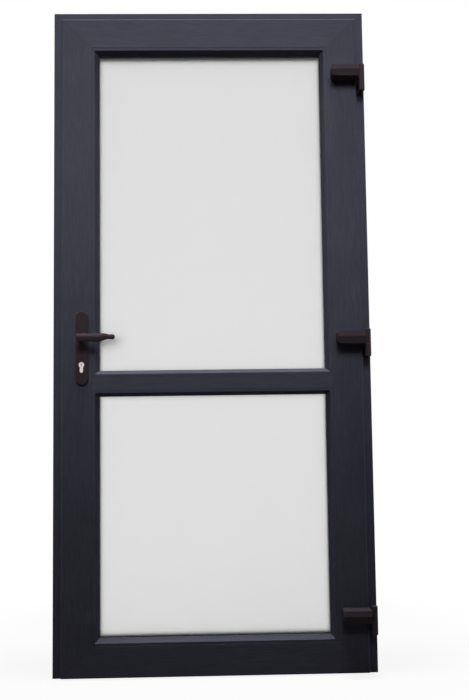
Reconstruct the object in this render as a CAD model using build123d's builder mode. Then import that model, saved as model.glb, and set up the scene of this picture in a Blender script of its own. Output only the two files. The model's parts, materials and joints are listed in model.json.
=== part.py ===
from build123d import *
import os

# A glazed entrance door hung in its frame, in millimetres. +Z is up, the leaf opens towards -Y and its
# hinges are on the +X side. The origin is on the floor, in the middle of the frame's width and depth.

# Frame
frame_width = 1000.0
frame_height = 2100.0
frame_depth = 70.0
frame_strip = 28.0  # frame left in sight beside the leaf
leaf_overlap = 8.0  # leaf lip over the frame's face
fitting_gap = 12.0  # air between leaf body and frame, where the hardware works
stop_height = 20.0  # rear stop beyond the rebate wall
seal_gap = 4.0  # space that each seal closes
frame_steel_depth = 28.0
fixing_radius = 4.0  # holes for the screws into the wall
fixing_end_distance = 150.0  # first and last fixing from the frame's ends

# Profiles
profile_wall = 3.0
steel_wall = 2.0
steel_clearance = 0.5
steel_setback = 12.0  # steel stops short of the welded corners
outer_round = 4.0  # outer edges in sight
inner_round = 1.5  # edges beside seals and glass
weld_round = 0.8  # edges where a bead meets its profile

# Leaf
leaf_depth = 70.0
leaf_proud = 20.0  # leaf face ahead of the frame's face
floor_gap = 4.0
stile_face = 95.0
rebate_height = 20.0
flange_thickness = 16.0
front_chamber = 6.0
mid_rail_centre = 899.5
mid_rail_web = 41.0

# Glazing
glass_thickness = 4.0
cavity = 16.0
spacer_width = 7.0
spacer_inset = 4.0
glazing_seal = 3.0
glazing_seal_width = 6.0
edge_gap = 5.0  # air round the glass, where the setting blocks stand
packer_length = 100.0
packer_end_distance = 90.0
bead_flat = 9.0
bead_inset = 0.4
bead_nose = 3.0
bead_wall = 2.5
bead_foot_depth = 4.5
bead_foot_width = 3.2
bead_foot_back = 10.0  # foot behind the leaf's face

# Seals
seal_width = 5.6
seal_edge = 1.2  # bulb from the edge of its lip
seal_stem_width = 3.0
seal_stem_depth = 3.8
seal_round = 1.2

# Threshold
threshold_height = 20.0
cover_thickness = 3.0
cover_skirt = 14.0
cover_fall = 7.0  # outward fall behind the leaf
cover_ribs = 5
rib_width = 2.0
rib_depth = 1.0
threshold_wall = 2.5

# Hinges
hinge_low_distance = 183.0  # bottom hinge above the floor
hinge_high_distance = 217.0  # top hinge below the frame's top
hinge_names = ("bottom", "middle", "top")
hinge_edge_distance = 14.0  # axis from the frame's outer edge
hinge_stand = 20.0  # axis ahead of the leaf's face
knuckle_radius = 9.5
knuckle_round = 3.0
knuckle_cap = 10.0  # leaf knuckle above its cover
frame_knuckle_height = 40.0
knuckle_gap = 0.5
pin_radius = 5.0
pin_end = 5.0  # metal left beyond the pin's ends
bush_wall = 1.5
cover_length = 85.0
cover_height = 37.0
cover_depth = 48.0
cover_wall = 2.0
cover_crown = 3.0  # crease of the cover's front ahead of its top edge
cover_crease = 16.0  # crease below the top edge
cover_lip = 5.5
cover_lip_step = 1.5  # lip ahead of the slope above it
cover_high_round = 5.0  # outer top corner
cover_low_round = 12.0  # outer bottom corner
cover_knuckle_gap = 2.5
hinge_plate_thickness = 7.0
hinge_block_length = 30.0
hinge_arm_thickness = 11.0
hinge_foot_width = 22.0
hinge_foot_thickness = 5.0
hinge_neck_width = 12.0
hinge_peg_radius = 4.0
hinge_peg_length = 16.0
hinge_peg_spacing = 26.0

# Lock
hardware_axis = 13.0  # lock's middle behind the back of the lip
backset = 45.0
handle_height = 1043.0
cylinder_spacing = 85.0
faceplate_width = 16.0
faceplate_thickness = 3.0
faceplate_end_distance = 170.0  # faceplate from the floor and from the frame's top
case_thickness = 15.0
case_behind = 27.0  # case behind the spindle
case_above = 48.0  # case above the spindle
case_below = 32.0  # case below the cylinder's axis
case_wall = 1.5
pocket_clearance = 0.5
slide_clearance = 0.3
turn_clearance = 0.05
bolt_thickness = 11.0
bolt_height = 22.0
bolt_length = 40.0
latch_throw = 12.0
latch_length = 20.0  # head inside the leaf
latch_rise = 16.0  # underside of the head above the spindle
latch_nose = 3.0
tail_thickness = 5.0
tail_rise = 26.0  # underside of the tail above the spindle
lug_drop = 14.0
lug_width = 4.0
follower_radius = 10.0
arm_width = 6.0
arm_reach = 21.0
arm_clearance = 1.2
side_bolt_radius = 5.0
side_bolt_length = 45.0
side_bolt_end_distance = 450.0  # side bolts from the floor and from the frame's top
guide_length = 30.0
guide_width = 16.0
guide_height = 28.0

# Strikes
strike_thickness = 3.0
strike_width = 17.0
strike_length = 220.0
keep_length = 70.0
strike_round = 3.0
strike_clearance = 1.0

# Handle
plate_width = 40.0
plate_height = 232.0
plate_thickness = 9.0
plate_edge_round = 3.5
plate_above = 84.0  # plate above the spindle
handle_bolt_end = 12.5  # bolts from the plate's ends
handle_bolt_radius = 2.5
bolt_head_radius = 4.6
bolt_head_height = 2.6
bolt_hole_clearance = 0.5
bolt_engagement = 6.0
neck_radius = 9.0
neck_length = 42.0  # plate face to the middle of the grip
neck_seat = 7.0  # neck inside the plate
spindle_size = 8.0
spindle_hole_radius = 11.0
socket_depth = 24.0
lever_reach = 107.0
lever_height = 26.5
lever_depth = 14.0
lever_return = 12.0  # tip bent back towards the leaf
facet_share = 0.212  # thumb facet out and up from the grip's middle, as a share of its height
grip_rise_share = -0.12  # grip's middle above the spindle, as a share of its height
# Along the reach, height, depth, return and rise of each section of the grip, down to its knobbed tip
lever_shares = (
    (-0.095, 0.42, 0.45, 0.0, grip_rise_share),
    (-0.07, 0.84, 0.86, 0.0, grip_rise_share),
    (0.0, 1.0, 1.0, 0.0, grip_rise_share),
    (0.35, 1.0, 1.0, 0.02, grip_rise_share),
    (0.58, 0.98, 0.98, 0.1, -0.105),
    (0.68, 0.85, 0.94, 0.2, -0.06),
    (0.77, 0.67, 0.86, 0.36, -0.025),
    (0.86, 0.57, 0.76, 0.6, -0.05),
    (0.925, 0.62, 0.78, 0.8, -0.055),
    (0.975, 0.5, 0.6, 0.95, -0.055),
    (1.0, 0.22, 0.28, 1.0, -0.055),
)

# Cylinder
cylinder_radius = 8.5
cylinder_stem = 10.0
cylinder_drop = 24.5  # underside below the plug's axis
cylinder_proud = 2.0
plug_radius = 6.4
keyway_width = 2.4
keyway_height = 8.4
keyway_depth = 25.0
cam_gap = 10.0
cam_thickness = 9.0
cam_radius = 7.5
cam_reach = 15.2
cam_nose = 8.0
cam_clearance = 1.2
cylinder_screw_radius = 2.5
cylinder_screw_drop = 20.0
cylinder_fit = 0.2

# One overrun for every cut that runs out of its piece
overrun = 5.0

# Places that follow from the sizes
frame_half = frame_width / 2
frame_front = -frame_depth / 2
frame_back = frame_depth / 2
frame_face = frame_strip + leaf_overlap
frame_reach = frame_face + stop_height
leaf_half = frame_half - frame_strip
leaf_top = frame_height - frame_strip
leaf_bottom = floor_gap
leaf_front = frame_front - leaf_proud
leaf_back = leaf_front + leaf_depth
lip_width = leaf_overlap + fitting_gap
lip_back = frame_front - seal_gap
stop_front = leaf_back + seal_gap
stile_reach = stile_face + rebate_height
flange_front = leaf_back - flange_thickness
unit_back = flange_front - glazing_seal
unit_front = unit_back - 2 * glass_thickness - cavity
bead_back = unit_front - glazing_seal
bead_front = leaf_front + bead_inset
mid_bottom = mid_rail_centre - mid_rail_web / 2
mid_top = mid_rail_centre + mid_rail_web / 2
bead_groove = bead_foot_depth + steel_clearance
groove_front = leaf_front + bead_foot_back - steel_clearance / 2
groove_back = groove_front + bead_foot_width + steel_clearance
main_front = leaf_front + 2 * profile_wall + front_chamber
main_back = flange_front - 2 * profile_wall
seal_height = seal_gap - slide_clearance
frame_ring = (frame_half, 0, frame_height)
leaf_ring = (leaf_half, leaf_bottom, leaf_top)
pane_half = leaf_half - stile_face
pane_rings = {
    "upper": (pane_half, mid_top, leaf_top - stile_face),
    "lower": (pane_half, leaf_bottom + stile_face, mid_bottom),
}
edge_x = lip_width - leaf_half
rebate_x = frame_face - frame_half
lock_y = lip_back + hardware_axis
spindle_x = edge_x + backset
cylinder_z = handle_height - cylinder_spacing
case_front = edge_x + faceplate_thickness
case_back = spindle_x + case_behind
case_bottom = cylinder_z - case_below
case_top = handle_height + case_above
bolt_z = handle_height - cylinder_spacing / 2
side_bolt_heights = (side_bolt_end_distance, frame_height - side_bolt_end_distance)
faceplate_span = (faceplate_end_distance, frame_height - faceplate_end_distance)
plate_top = handle_height + plate_above
plate_centre = plate_top - plate_height / 2
handle_bolt_heights = (plate_top - plate_height + handle_bolt_end, plate_top - handle_bolt_end)
plate_front = leaf_front - plate_thickness
plate_back = leaf_back + plate_thickness
hinge_x = frame_half - hinge_edge_distance
hinge_y = leaf_front - hinge_stand
hinge_low = hinge_low_distance
hinge_high = frame_height - hinge_high_distance
hinge_heights = (hinge_low, (hinge_low + hinge_high) / 2, hinge_high)
frame_steel_back = stop_front - profile_wall - steel_clearance
frame_steel_front = frame_steel_back - frame_steel_depth
fixing_y = (frame_steel_front + frame_steel_back) / 2
fixing_step = (frame_height - 2 * fixing_end_distance) / 3
fixing_heights = [fixing_end_distance + step * fixing_step for step in range(4)]
both_sides = (-1, 1)
across = Vector(0, 1, 0)

os.makedirs("parts", exist_ok=True)


def keep(piece, name):
    """Name a finished piece and write it."""
    piece.part.label = name
    export_step(piece.part, f"parts/{name}.step")


def block(x_span, y_span, z_span, mode=Mode.ADD):
    """A box between two limits on each axis."""
    spans = (x_span, y_span, z_span)
    with Locations(tuple((low + high) / 2 for low, high in spans)):
        Box(*(high - low for low, high in spans), mode=mode)


def about(middle, size):
    """Limits of a size about its middle."""
    return middle - size / 2, middle + size / 2


def upright(depth):
    """Plane facing -Y at a depth, with X to the right and Z up."""
    return Plane(origin=(0, depth, 0), x_dir=(1, 0, 0), z_dir=(0, -1, 0))


def side_of(ring, side):
    """Section plane in the middle of a ring's side, with x inward and y along +Y, and the side's length."""
    half, bottom, top = ring
    middle = (bottom + top) / 2
    places = {
        "lock": ((-half, 0, middle), (1, 0, 0), top - bottom),
        "hinge": ((half, 0, middle), (-1, 0, 0), top - bottom),
        "top": ((0, 0, top), (0, 0, -1), 2 * half),
        "bottom": ((0, 0, bottom), (0, 0, 1), 2 * half),
    }
    origin, inward, length = places[side]
    return Plane(origin=origin, x_dir=inward, z_dir=Vector(inward).cross(across)), length


def mitred_bar(ring, side, outline, chambers, rounds, mitres=both_sides):
    """A length of hollow profile along a ring's side, with its ends cut at 45 degrees."""
    plane, length = side_of(ring, side)
    with BuildPart() as bar:
        with BuildSketch(plane) as section:
            with BuildLine():
                Polyline(*outline, close=True)
            make_face()
            for corner, radius in rounds:
                fillet(section.vertices().sort_by_distance((*corner, 0))[0], radius)
            for left, right, front, back in chambers:
                with Locations(((left + right) / 2, (front + back) / 2)):
                    Rectangle(right - left, back - front, mode=Mode.SUBTRACT)
        extrude(amount=length / 2, both=True)
        for end in mitres:
            corner = plane.origin + plane.z_dir * (end * length / 2)
            mitre = Plane(origin=corner, z_dir=plane.x_dir + plane.z_dir * end)
            split(bisect_by=mitre, keep=Keep.BOTTOM)
    return bar.part


def ring_sketch(ring, inset, width, depth):
    """Flat band inside a ring, as wide as given."""
    half, bottom, top = ring
    with BuildSketch(upright(depth)) as band:
        with Locations((0, (bottom + top) / 2)):
            Rectangle(2 * (half - inset), top - bottom - 2 * inset)
            Rectangle(2 * (half - inset - width), top - bottom - 2 * (inset + width), mode=Mode.SUBTRACT)
    return band.sketch


def frame_bar(side, mitres):
    """Jamb or head: face, rebate wall and rear stop, with chambers and the groove of the stop seal."""
    outline = (
        (0, frame_front),
        (frame_face, frame_front),
        (frame_face, stop_front),
        (frame_reach, stop_front),
        (frame_reach, frame_back),
        (0, frame_back),
    )
    rounds = (
        ((0, frame_front), inner_round),
        ((frame_face, frame_front), inner_round),
        ((frame_reach, stop_front), inner_round),
        ((frame_reach, frame_back), outer_round),
    )
    near, far = profile_wall, frame_face - profile_wall
    groove = frame_reach - seal_edge - seal_width / 2
    groove_floor = stop_front + seal_stem_depth
    steel_front = frame_steel_front - steel_clearance
    chambers = (
        (near, far, frame_front + profile_wall, steel_front - profile_wall),
        (near, far, steel_front, stop_front - profile_wall),
        (near, frame_reach - profile_wall, groove_floor + profile_wall, frame_back - profile_wall),
        (*about(groove, seal_stem_width), stop_front - overrun, groove_floor),
    )
    return mitred_bar(frame_ring, side, outline, chambers, rounds, mitres)


def leaf_bar(side):
    """Stile or rail of the leaf: overlapping lip, body, glazing rebate and rear flange."""
    outline = (
        (0, leaf_front),
        (stile_face, leaf_front),
        (stile_face, flange_front),
        (stile_reach, flange_front),
        (stile_reach, leaf_back),
        (lip_width, leaf_back),
        (lip_width, lip_back),
        (0, lip_back),
    )
    rounds = (
        ((0, leaf_front), outer_round),
        ((stile_face, leaf_front), weld_round),
        ((stile_reach, flange_front), inner_round),
        ((stile_reach, leaf_back), outer_round),
        ((lip_width, leaf_back), inner_round),
        ((0, lip_back), inner_round / 2),
    )
    near = lip_width + faceplate_thickness + profile_wall
    far = stile_face - bead_groove - profile_wall
    groove = seal_edge + seal_width / 2
    rear_front, rear_back = flange_front - profile_wall, leaf_back - profile_wall
    chambers = (
        (outer_round, far, leaf_front + profile_wall, main_front - profile_wall),
        (near, far, main_front, main_back),
        (near - profile_wall, stile_face - profile_wall, rear_front, rear_back),
        (stile_face, stile_reach - profile_wall, flange_front + profile_wall, rear_back),
        (stile_face - bead_groove, stile_face + overrun, groove_front, groove_back),
        (*about(groove, seal_stem_width), lip_back - seal_stem_depth, lip_back + overrun),
    )
    return mitred_bar(leaf_ring, side, outline, chambers, rounds)


def bead(ring, side):
    """Glazing bead: flat strip flush with the leaf, slope down to the glass and a foot in its groove."""
    seat = steel_clearance / 2
    foot_front = leaf_front + bead_foot_back
    foot_back = foot_front + bead_foot_width
    outline = (
        (seat, bead_front),
        (bead_flat, bead_front),
        (rebate_height, bead_back - bead_nose),
        (rebate_height, bead_back),
        (seat, bead_back),
        (seat, foot_back),
        (-bead_foot_depth, foot_back),
        (-bead_foot_depth, foot_front),
        (seat, foot_front),
    )
    chambers = ((seat + bead_wall, bead_flat, bead_front + bead_wall, bead_back - bead_wall),)
    rounds = (((bead_flat, bead_front), weld_round), ((seat, bead_front), weld_round / 2))
    return mitred_bar(ring, side, outline, chambers, rounds)


def steel_tube(x_span, y_span, z_span, axis):
    """Reinforcing tube with square ends, open along its axis."""
    spans = [x_span, y_span, z_span]
    bored = [(low + steel_wall, high - steel_wall) for low, high in spans]
    bored[axis] = (spans[axis][0] - overrun, spans[axis][1] + overrun)
    block(*spans)
    block(*bored, mode=Mode.SUBTRACT)


def cylinder_sketch(clearance):
    """Keyhole section of the profile cylinder, about its plug's axis."""
    stem_radius = cylinder_stem / 2
    foot = cylinder_drop - stem_radius
    with BuildSketch(upright(lock_y)) as section:
        with Locations((spindle_x, cylinder_z)):
            Circle(cylinder_radius + clearance)
        with Locations((spindle_x, cylinder_z - foot / 2)):
            Rectangle(cylinder_stem + 2 * clearance, foot)
        with Locations((spindle_x, cylinder_z - foot)):
            Circle(stem_radius + clearance)
    return section.sketch


def cross_holes(heights, radius):
    """Holes right through the leaf, on the spindle's line."""
    for height in heights:
        with Locations(Location((spindle_x, lock_y, height), (90, 0, 0))):
            Cylinder(radius, 2 * leaf_depth, mode=Mode.SUBTRACT)


def lock_cuts():
    """Seat of the lock rail, pockets of the case and guides, and the holes of the handle and cylinder."""
    seat = (edge_x - overrun, case_front)
    block(seat, about(lock_y, faceplate_width + slide_clearance), faceplate_span, Mode.SUBTRACT)
    pocket_width = about(lock_y, case_thickness + 2 * pocket_clearance)
    pocket = (case_front - overrun, case_back + pocket_clearance)
    block(pocket, pocket_width, (case_bottom - pocket_clearance, case_top + pocket_clearance), Mode.SUBTRACT)
    guide = (case_front - overrun, edge_x + side_bolt_length + pocket_clearance)
    for height in side_bolt_heights:
        guide_span = about(height, guide_height + 2 * pocket_clearance)
        block(guide, about(lock_y, guide_width + 2 * pocket_clearance), guide_span, Mode.SUBTRACT)
    cross_holes((handle_height,), spindle_hole_radius)
    cross_holes(handle_bolt_heights, handle_bolt_radius + bolt_hole_clearance)
    extrude(cylinder_sketch(pocket_clearance), amount=leaf_depth, both=True, mode=Mode.SUBTRACT)


# Frame profiles
with BuildPart() as frame_head:
    add(frame_bar("top", both_sides))
keep(frame_head, "frame_head")


def fixing_holes(side):
    """Holes for the screws that hold a jamb to the wall."""
    for height in fixing_heights:
        with Locations(Location((side * (frame_half - frame_face / 2), fixing_y, height), (0, 90, 0))):
            Cylinder(fixing_radius, frame_face + 2 * overrun, mode=Mode.SUBTRACT)


strike_heights = {
    "latch": (handle_height + latch_rise + bolt_height / 2, bolt_height),
    "bolt": (bolt_z, bolt_height),
}


def strike_holes(x_span, extra):
    """Holes that take the latch and the deadbolt."""
    for middle, height in strike_heights.values():
        hole = about(middle, height + 2 * extra)
        block(x_span, about(lock_y, bolt_thickness + 2 * extra), hole, Mode.SUBTRACT)


def keep_holes(x_span):
    """Square holes that take the side bolts."""
    hole = 2 * (side_bolt_radius + strike_clearance)
    for height in side_bolt_heights:
        block(x_span, about(lock_y, hole), about(height, hole), Mode.SUBTRACT)


jamb_wall = (rebate_x - profile_wall - overrun, rebate_x + overrun)
with BuildPart() as frame_jamb_lock:
    add(frame_bar("lock", (1,)))
    fixing_holes(-1)
    strike_holes(jamb_wall, strike_clearance)
    keep_holes(jamb_wall)
keep(frame_jamb_lock, "frame_jamb_lock")

peg_heights = {
    name: about(height - cover_height / 2 - knuckle_gap - frame_knuckle_height / 2, hinge_peg_spacing)
    for name, height in zip(hinge_names, hinge_heights)
}
with BuildPart() as frame_jamb_hinge:
    add(frame_bar("hinge", (-1,)))
    fixing_holes(1)
    for heights in peg_heights.values():
        for peg_height in heights:
            with Locations(Location((hinge_x, frame_front, peg_height), (90, 0, 0))):
                Cylinder(hinge_peg_radius + turn_clearance, 2 * hinge_peg_length, mode=Mode.SUBTRACT)
keep(frame_jamb_hinge, "frame_jamb_hinge")

steel_near = profile_wall + steel_clearance
steel_far = frame_face - steel_near
frame_steel_span = (frame_steel_front, frame_steel_back)
with BuildPart() as frame_steel:
    steel_end = frame_height - frame_face - steel_setback
    for side in both_sides:
        jamb_span = sorted(side * (frame_half - inset) for inset in (steel_near, steel_far))
        steel_tube(jamb_span, frame_steel_span, (steel_setback, steel_end), 2)
        fixing_holes(side)
    head_length = frame_width - 2 * (frame_face + steel_setback)
    steel_tube(about(0, head_length), frame_steel_span, (frame_height - steel_far, frame_height - steel_near), 0)
keep(frame_steel, "frame_steel")

# Stop seal: a bulb and its stem, up one jamb, along the head and down the other
with BuildPart() as frame_seal:
    stem_inset = (seal_width - seal_stem_width) / 2
    bulb_outer = frame_reach - seal_edge - seal_width
    for inset, width, depth, height in (
        (bulb_outer, seal_width, stop_front, seal_height),
        (bulb_outer + stem_inset, seal_stem_width, stop_front + seal_stem_depth, seal_stem_depth),
    ):
        with BuildSketch(upright(depth)):
            with Locations((0, threshold_height)):
                low = (Align.CENTER, Align.MIN)
                rise = frame_height - threshold_height
                Rectangle(2 * (frame_half - inset), rise - inset, align=low)
                inner = inset + width
                Rectangle(2 * (frame_half - inner), rise - inner, align=low, mode=Mode.SUBTRACT)
        extrude(amount=height)
    bulb_edges = frame_seal.faces().sort_by(Axis.Y)[0].edges().filter_by(Axis.Y, reverse=True)
    fillet(bulb_edges, seal_round)
keep(frame_seal, "frame_seal")

# Threshold: a hollow base and an aluminium cover, both cut round the jambs' stops
rebate_half = frame_half - frame_face
cover_back_top = threshold_height - cover_fall


def stop_notches():
    """Corners cut away where the jambs' stops stand."""
    notch_depth = (stop_front, frame_back + overrun)
    for side in both_sides:
        ends = sorted((side * (frame_half - frame_reach), side * (rebate_half + overrun)))
        block(ends, notch_depth, (-overrun, threshold_height + overrun), Mode.SUBTRACT)


with BuildPart() as threshold_cover:
    with BuildSketch(Plane.YZ):
        with BuildLine():
            Polyline(
                (frame_front, threshold_height - cover_skirt),
                (frame_front, threshold_height),
                (stop_front, threshold_height),
                (frame_back, cover_back_top),
                (frame_back, cover_back_top - cover_thickness),
                (stop_front, threshold_height - cover_thickness),
                (frame_front + cover_thickness, threshold_height - cover_thickness),
                (frame_front + cover_thickness, threshold_height - cover_skirt),
                close=True,
            )
        make_face()
        rib_step = (stop_front - frame_front) / (cover_ribs + 1)
        for rib in range(cover_ribs):
            with Locations((frame_front + (rib + 1) * rib_step, threshold_height)):
                Rectangle(rib_width, 2 * rib_depth, mode=Mode.SUBTRACT)
    extrude(amount=rebate_half, both=True)
    stop_notches()
keep(threshold_cover, "threshold_cover")

with BuildPart() as threshold_base:
    base_top = threshold_height - cover_thickness
    with BuildSketch(Plane.YZ):
        with BuildLine():
            Polyline(
                (frame_front, 0),
                (frame_front, threshold_height - cover_skirt),
                (frame_front + cover_thickness, threshold_height - cover_skirt),
                (frame_front + cover_thickness, base_top),
                (stop_front, base_top),
                (frame_back, cover_back_top - cover_thickness),
                (frame_back, 0),
                close=True,
            )
        make_face()
        chamber_width = (stop_front - frame_front - cover_thickness - 3 * threshold_wall) / 2
        chamber_height = base_top - 2 * threshold_wall
        chamber_step = chamber_width + threshold_wall
        for chamber in range(2):
            chamber_front = frame_front + cover_thickness + threshold_wall + chamber * chamber_step
            with Locations((chamber_front + chamber_width / 2, base_top / 2)):
                Rectangle(chamber_width, chamber_height, mode=Mode.SUBTRACT)
    extrude(amount=rebate_half, both=True)
    stop_notches()
keep(threshold_base, "threshold_base")

# Strikes on the lock jamb's rebate wall
strike_x = rebate_x + strike_thickness
strike_y = frame_front + strike_width / 2 + slide_clearance
strike_span = (rebate_x - overrun, strike_x + overrun)
strike_plane = Plane(origin=(rebate_x, 0, 0), x_dir=(0, 1, 0), z_dir=(1, 0, 0))
with BuildPart() as strike_main:
    with BuildSketch(strike_plane):
        with Locations((strike_y, (strike_heights["latch"][0] + bolt_z) / 2)):
            RectangleRounded(strike_width, strike_length, strike_round)
    extrude(amount=strike_thickness)
    strike_holes(strike_span, strike_clearance)
keep(strike_main, "strike_main")

with BuildPart() as strike_keeps:
    for keep_height in side_bolt_heights:
        with BuildSketch(strike_plane):
            with Locations((strike_y, keep_height)):
                RectangleRounded(strike_width, keep_length, strike_round)
        extrude(amount=strike_thickness)
    keep_holes(strike_span)
keep(strike_keeps, "strike_keeps")

# Leaf profiles
with BuildPart() as leaf_lock_stile:
    add(leaf_bar("lock"))
    lock_cuts()
keep(leaf_lock_stile, "leaf_lock_stile")

for side, name in (("hinge", "leaf_hinge_stile"), ("top", "leaf_top_rail"), ("bottom", "leaf_bottom_rail")):
    with BuildPart() as leaf_profile:
        add(leaf_bar(side))
    keep(leaf_profile, name)

# Mid rail: web between the stiles' rebates, flange between their flanges
with BuildPart() as mid_rail:
    flange_half = mid_rail_web / 2 + rebate_height
    web_chamber = mid_rail_web - 2 * (bead_groove + profile_wall)
    with BuildSketch(Plane.YZ):
        with Locations(((leaf_front + flange_front) / 2, mid_rail_centre)):
            Rectangle(flange_front - leaf_front, mid_rail_web)
        for front, back in (
            (leaf_front + profile_wall, main_front - profile_wall),
            (main_front, main_back),
        ):
            with Locations(((front + back) / 2, mid_rail_centre)):
                Rectangle(back - front, web_chamber, mode=Mode.SUBTRACT)
        for rebate_floor in (mid_bottom, mid_top):
            with Locations(((groove_front + groove_back) / 2, rebate_floor)):
                Rectangle(groove_back - groove_front, 2 * bead_groove, mode=Mode.SUBTRACT)
    extrude(amount=pane_half, both=True)
    with BuildSketch(Plane.YZ):
        with Locations(((flange_front + leaf_back) / 2, mid_rail_centre)):
            Rectangle(flange_thickness, 2 * flange_half)
        with Locations(((flange_front + leaf_back) / 2, mid_rail_centre)):
            Rectangle(
                flange_thickness - 2 * profile_wall,
                2 * (flange_half - profile_wall),
                mode=Mode.SUBTRACT,
            )
    extrude(amount=leaf_half - stile_reach, both=True)
keep(mid_rail, "mid_rail")

# Leaf steel: one tube in each stile and rail
leaf_steel_span = (main_front + steel_clearance, main_back - steel_clearance)
with BuildPart() as leaf_steel:
    near = lip_width + faceplate_thickness + profile_wall + steel_clearance
    far = stile_face - bead_groove - profile_wall - steel_clearance
    stile_span = (leaf_bottom + far + steel_setback, leaf_top - far - steel_setback)
    steel_tube((near - leaf_half, far - leaf_half), leaf_steel_span, stile_span, 2)
    lock_cuts()
    steel_tube((leaf_half - far, leaf_half - near), leaf_steel_span, stile_span, 2)
    rail_span = about(0, 2 * (leaf_half - far - steel_setback))
    steel_tube(rail_span, leaf_steel_span, (leaf_top - far, leaf_top - near), 0)
    steel_tube(rail_span, leaf_steel_span, (leaf_bottom + near, leaf_bottom + far), 0)
    mid_steel = mid_rail_web - 2 * (bead_groove + profile_wall + steel_clearance)
    steel_tube(about(0, 2 * (pane_half - steel_setback)), leaf_steel_span, about(mid_rail_centre, mid_steel), 0)
keep(leaf_steel, "leaf_steel")

# Lip seal round the leaf
with BuildPart() as leaf_seal:
    extrude(ring_sketch(leaf_ring, seal_edge, seal_width, lip_back + seal_height), amount=seal_height)
    bulb_edges = leaf_seal.faces().sort_by(Axis.Y)[-1].edges()
    fillet(bulb_edges, seal_round)
    stem_inset = seal_edge + (seal_width - seal_stem_width) / 2
    extrude(ring_sketch(leaf_ring, stem_inset, seal_stem_width, lip_back), amount=seal_stem_depth)
keep(leaf_seal, "leaf_seal")

# Beads, glass, spacers and glazing seals of both panes
for pane, ring in pane_rings.items():
    pane_width, pane_bottom, pane_top = 2 * ring[0], ring[1], ring[2]
    for side in ("lock", "hinge", "top", "bottom"):
        with BuildPart() as glazing_bead:
            add(bead(ring, side))
        keep(glazing_bead, f"bead_{pane}_{side}")
    glass_span = about(0, pane_width - 2 * edge_gap)
    glass_rise = (pane_bottom + edge_gap, pane_top - edge_gap)
    for face, front in (("inside", unit_front), ("outside", unit_back - glass_thickness)):
        with BuildPart() as glass_sheet:
            block(glass_span, (front, front + glass_thickness), glass_rise)
        keep(glass_sheet, f"glass_{pane}_{face}")

with BuildPart() as spacers:
    for ring in pane_rings.values():
        spacer_sketch = ring_sketch(ring, edge_gap + spacer_inset, spacer_width, unit_back - glass_thickness)
        extrude(spacer_sketch, amount=cavity)
keep(spacers, "spacers")

with BuildPart() as glazing_seals:
    seal_inset = rebate_height - glazing_seal_width
    for ring in pane_rings.values():
        for depth in (unit_front, flange_front):
            extrude(ring_sketch(ring, seal_inset, glazing_seal_width, depth), amount=glazing_seal)
keep(glazing_seals, "glazing_seals")

# Setting blocks: two under each unit, one over it and one at each side, across a diagonal
with BuildPart() as setting_blocks:
    unit_span = (unit_front, unit_back)
    for half, pane_bottom, pane_top in pane_rings.values():
        block_x = half - edge_gap - packer_end_distance
        for side in both_sides:
            block(about(side * block_x, packer_length), unit_span, (pane_bottom, pane_bottom + edge_gap))
        block(about(-block_x, packer_length), unit_span, (pane_top - edge_gap, pane_top))
        low_middle = pane_bottom + edge_gap + packer_end_distance
        high_middle = pane_top - edge_gap - packer_end_distance
        block((half - edge_gap, half), unit_span, about(low_middle, packer_length))
        block((-half, edge_gap - half), unit_span, about(high_middle, packer_length))
keep(setting_blocks, "setting_blocks")

# Hinges: a leaf part under its cover, a frame part below it, and a pin in a bush between the two
cover_right = hinge_x - knuckle_radius - cover_knuckle_gap
cover_left = cover_right - cover_length
cover_front = leaf_front - cover_depth
cover_slope_end = cover_front + cover_crown
hinge_arm_span = about(hinge_y, hinge_arm_thickness)


def cover_outline(height, inset, past_end):
    """Front outline of a hinge cover or of the hollow in it, with its outer corners rounded."""
    left, right = cover_left + inset, cover_right + past_end
    half = cover_height / 2 - inset
    with BuildSketch(upright(leaf_front)) as outline:
        with Locations(((left + right) / 2, height)):
            Rectangle(right - left, 2 * half)
        corner_rounds = {(left, height + half, 0): cover_high_round, (left, height - half, 0): cover_low_round}
        for corner, radius in corner_rounds.items():
            fillet(outline.vertices().sort_by_distance(corner)[0], radius - inset)
    return outline.sketch


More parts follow.
